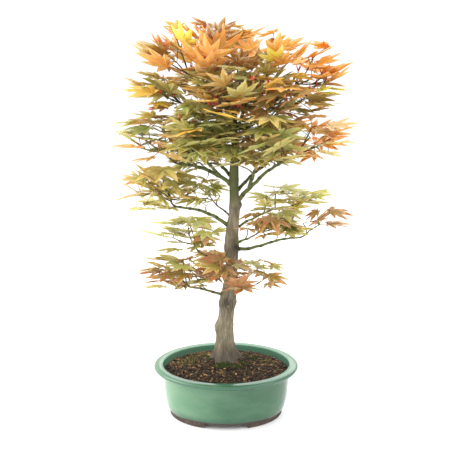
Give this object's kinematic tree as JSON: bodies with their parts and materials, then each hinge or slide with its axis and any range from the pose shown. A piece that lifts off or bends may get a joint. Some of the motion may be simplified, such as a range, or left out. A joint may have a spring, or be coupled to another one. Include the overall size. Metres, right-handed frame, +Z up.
{
  "type": "potted maple bonsai tree",
  "caption": "Bonsai maple in autumn leaf: a slim S-curved trunk and thin boughs carrying tiers of palmate leaves, rooted in soil in an oval glazed pot.",
  "frame": {"origin": "on the ground, at the middle of the whole plant's footprint box", "axes": "+Z up along the trunk, -Y towards the viewer of the picture, +X to the right along the pot's length"},
  "size_m": [0.3472, 0.2644, 0.5635],
  "materials": {
    "glaze": "jade glaze over stoneware, bare dark clay at the foot",
    "soil": "dark moist soil with pale chips and a patch of moss",
    "bark": "grey-tan fissured bark, greener towards the top",
    "bough_bark": "smooth green bark with dark nodes",
    "leaves_low": "matt leaves, brick red and olive",
    "leaves_middle": "matt leaves, olive and gold",
    "leaves_top": "matt leaves, orange and yellow"
  },
  "bodies": {
    "root": {"bough_back_left": "bough_bark", "bough_back_right": "bough_bark", "bough_crown_back": "bough_bark", "bough_crown_far_right": "bough_bark", "bough_crown_front": "bough_bark", "bough_crown_left": "bough_bark", "bough_crown_right": "bough_bark", "bough_leader_back": "bough_bark", "bough_leader_front": "bough_bark", "bough_leader_front_right": "bough_bark", "bough_leader_left": "bough_bark", "bough_leader_right": "bough_bark", "bough_left_high": "bough_bark", "bough_left_high_side": "bough_bark", "bough_left_mid": "bough_bark", "bough_low_left": "bough_bark", "bough_right_back": "bough_bark", "bough_right_front": "bough_bark", "bough_right_high": "bough_bark", "bough_right_high_side": "bough_bark", "bough_right_low": "bough_bark", "bough_second_left": "bough_bark", "leaves_left_inner": "leaves_middle", "leaves_left_mid": "leaves_middle", "leaves_low_back": "leaves_low", "leaves_low_front": "leaves_low", "leaves_low_left": "leaves_low", "leaves_low_right": "leaves_low", "leaves_mid_back_left": "leaves_middle", "leaves_mid_back_right": "leaves_middle", "leaves_mid_front_left": "leaves_middle", "leaves_mid_front_right": "leaves_middle", "leaves_mid_left": "leaves_middle", "leaves_mid_right": "leaves_middle", "leaves_right_back": "leaves_middle", "leaves_right_front": "leaves_middle", "leaves_right_tip": "leaves_middle", "leaves_second_left": "leaves_low", "leaves_top_back": "leaves_top", "leaves_top_far_right": "leaves_top", "leaves_top_front": "leaves_top", "leaves_top_left": "leaves_top", "leaves_top_middle": "leaves_top", "leaves_top_right": "leaves_top", "leaves_upper_back": "leaves_top", "leaves_upper_front": "leaves_top", "leaves_upper_front_right": "leaves_top", "leaves_upper_left": "leaves_top", "leaves_upper_right": "leaves_top", "pot": "glaze", "soil": "soil", "trunk": "bark"}
  },
  "joints": []
}
